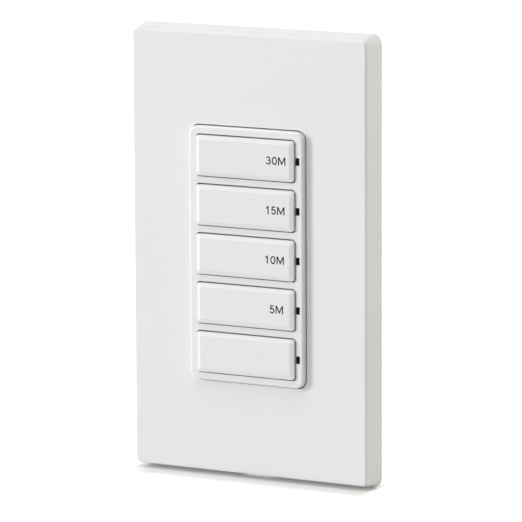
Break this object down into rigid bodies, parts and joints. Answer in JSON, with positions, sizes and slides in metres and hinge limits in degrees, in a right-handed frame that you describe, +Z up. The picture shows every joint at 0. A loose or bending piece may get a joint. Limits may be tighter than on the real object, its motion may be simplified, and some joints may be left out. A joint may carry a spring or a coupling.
{
  "type": "timer light switch",
  "caption": "Wall-mounted countdown light switch: push buttons with indicator windows in a bezel, under a drafted screwless cover plate, with a screw-terminal housing behind.",
  "frame": {"origin": "on the wall plane, midway between the two box screws", "axes": "+Z up along the plate's long side, +Y into the wall, buttons face -Y, +X to the right seen from the front"},
  "size_m": [0.0706, 0.0348, 0.1178],
  "materials": {
    "cover_plastic": "satin white moulded polycarbonate",
    "bezel_plastic": "satin white moulded plastic",
    "button_plastic": "satin white moulded plastic",
    "sub_plate_plastic": "plain white moulded plastic",
    "strap_steel": "zinc-plated pressed steel",
    "plated_steel": "zinc-plated screw steel",
    "retainer_fibre": "red vulcanised fibre",
    "green_paint": "green-dyed steel",
    "smoked_lens": "smoked acrylic",
    "led_resin": "clear epoxy over phosphor",
    "board_laminate": "green solder mask",
    "header_plastic": "black moulded plastic",
    "housing_plastic": "charcoal moulded thermoset",
    "terminal_brass": "bright brass",
    "nickel_plate": "nickel plate",
    "relay_case": "blue moulded case",
    "film_case": "yellow moulded case",
    "can_sleeve": "black shrink sleeve on an aluminium can",
    "varistor_coat": "blue epoxy coat",
    "fuse_case": "brown moulded can",
    "ferrite": "ferrite drum with copper winding",
    "chip_resin": "black moulded epoxy",
    "resistor_coat": "pale blue-grey lacquer",
    "switch_plastic": "black moulded plastic",
    "plunger_plastic": "black moulded plastic"
  },
  "bodies": {
    "switch_body": {"wall_plate": "cover_plastic", "sub_plate": "sub_plate_plastic", "sub_plate_screws": "plated_steel", "strap": "strap_steel", "box_screws": "plated_steel", "screw_retainers": "retainer_fibre", "ground_screw": "green_paint", "bezel": "bezel_plastic", "indicator_leds": "led_resin", "control_board": "board_laminate", "power_board": "board_laminate", "board_header": "header_plastic", "board_screws": "plated_steel", "housing": "housing_plastic", "housing_screws": "plated_steel", "terminal_lugs": "terminal_brass", "terminal_clamps": "plated_steel", "hot_screws": "terminal_brass", "neutral_screw": "nickel_plate", "relay": "relay_case", "film_capacitor": "film_case", "bulk_capacitor": "can_sleeve", "output_capacitor": "can_sleeve", "varistor": "varistor_coat", "fuse": "fuse_case", "inductor": "ferrite", "rectifier": "chip_resin", "regulator": "chip_resin", "bleeder_resistor": "resistor_coat", "timer_chip": "chip_resin", "crystal": "nickel_plate", "lens_30_min": "smoked_lens", "switch_30_min": "switch_plastic", "lens_15_min": "smoked_lens", "switch_15_min": "switch_plastic", "lens_10_min": "smoked_lens", "switch_10_min": "switch_plastic", "lens_5_min": "smoked_lens", "switch_5_min": "switch_plastic", "lens_off": "smoked_lens", "switch_off": "switch_plastic"},
    "key_30_min": {"button_30_min": "button_plastic", "plunger_30_min": "plunger_plastic"},
    "key_15_min": {"button_15_min": "button_plastic", "plunger_15_min": "plunger_plastic"},
    "key_10_min": {"button_10_min": "button_plastic", "plunger_10_min": "plunger_plastic"},
    "key_5_min": {"button_5_min": "button_plastic", "plunger_5_min": "plunger_plastic"},
    "key_off": {"button_off": "button_plastic", "plunger_off": "plunger_plastic"}
  },
  "joints": [
    {"name": "press_30_min", "type": "slide", "parent": "switch_body", "child": "key_30_min", "axis": [0, 1, 0], "range_m": [0, 0.0005], "stiffness_N_per_m": 1500},
    {"name": "press_15_min", "type": "slide", "parent": "switch_body", "child": "key_15_min", "axis": [0, 1, 0], "range_m": [0, 0.0005], "stiffness_N_per_m": 1500},
    {"name": "press_10_min", "type": "slide", "parent": "switch_body", "child": "key_10_min", "axis": [0, 1, 0], "range_m": [0, 0.0005], "stiffness_N_per_m": 1500},
    {"name": "press_5_min", "type": "slide", "parent": "switch_body", "child": "key_5_min", "axis": [0, 1, 0], "range_m": [0, 0.0005], "stiffness_N_per_m": 1500},
    {"name": "press_off", "type": "slide", "parent": "switch_body", "child": "key_off", "axis": [0, 1, 0], "range_m": [0, 0.0005], "stiffness_N_per_m": 1500}
  ]
}
